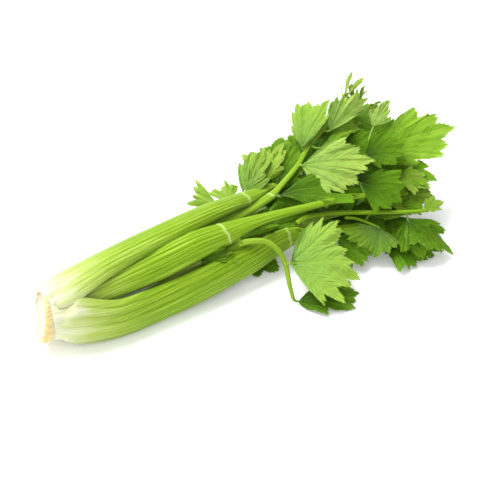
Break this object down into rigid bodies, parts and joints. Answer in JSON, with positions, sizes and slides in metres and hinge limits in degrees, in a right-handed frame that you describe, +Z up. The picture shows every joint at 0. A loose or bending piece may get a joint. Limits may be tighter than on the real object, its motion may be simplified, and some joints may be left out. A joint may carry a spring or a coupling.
{
  "type": "head of celery",
  "caption": "Head of celery lying on its side: a cut pale butt, ribbed green stalks fanning from it, and toothed, lobed leaflets on thin side stems at the far end.",
  "frame": {"origin": "middle of the bunch's footprint on the surface that it lies on", "axes": "+X from the cut butt to the leaves, +Y to the side where the longer stalks spread, +Z up"},
  "size_m": [0.4414, 0.22, 0.1167],
  "materials": {
    "butt_flesh": null,
    "stalk_skin": null,
    "heart_skin": null,
    "leaf_green": null,
    "heart_green": null
  },
  "bodies": {
    "root": {"butt": "butt_flesh", "heart_leaflet_pale": "heart_green", "heart_leaflet_short": "heart_green", "heart_stalk_pale": "heart_skin", "heart_stalk_short": "heart_skin", "leaflet_back_end": "leaf_green", "leaflet_back_left": "leaf_green", "leaflet_back_pale": "leaf_green", "leaflet_back_pale_second": "leaf_green", "leaflet_back_right": "leaf_green", "leaflet_crown_back": "leaf_green", "leaflet_crown_edge": "leaf_green", "leaflet_crown_fold": "leaf_green", "leaflet_crown_left": "leaf_green", "leaflet_crown_right": "leaf_green", "leaflet_crown_tip": "leaf_green", "leaflet_front_corner": "leaf_green", "leaflet_front_ground": "leaf_green", "leaflet_front_hanging": "leaf_green", "leaflet_front_near": "leaf_green", "leaflet_front_small": "leaf_green", "leaflet_front_tip": "leaf_green", "leaflet_inner_end": "leaf_green", "leaflet_inner_left": "leaf_green", "leaflet_middle_end": "leaf_green", "leaflet_middle_right": "leaf_green", "leaflet_rear_end": "leaf_green", "leaflet_rear_first": "leaf_green", "leaflet_rear_left": "leaf_green", "leaflet_rear_right": "leaf_green", "leaflet_side_front": "leaf_green", "leaflet_side_ground": "leaf_green", "leaflet_top_back": "leaf_green", "leaflet_top_curl": "leaf_green", "leaflet_top_end": "leaf_green", "leaflet_top_left": "leaf_green", "leaflet_top_left_second": "leaf_green", "leaflet_top_lower": "leaf_green", "leaflet_top_right": "leaf_green", "leaflet_top_upper": "leaf_green", "leaflet_under_end": "leaf_green", "leaflet_under_left": "leaf_green", "leaflet_under_right": "leaf_green", "side_stem_front": "stalk_skin", "side_stem_middle": "stalk_skin", "side_twig_front": "stalk_skin", "stalk_front": "stalk_skin", "stalk_inner_front": "stalk_skin", "stalk_inner_rear": "stalk_skin", "stalk_middle": "stalk_skin", "stalk_rear": "stalk_skin", "stalk_thin": "stalk_skin", "stalk_top": "stalk_skin", "stalk_under": "stalk_skin"}
  },
  "joints": []
}
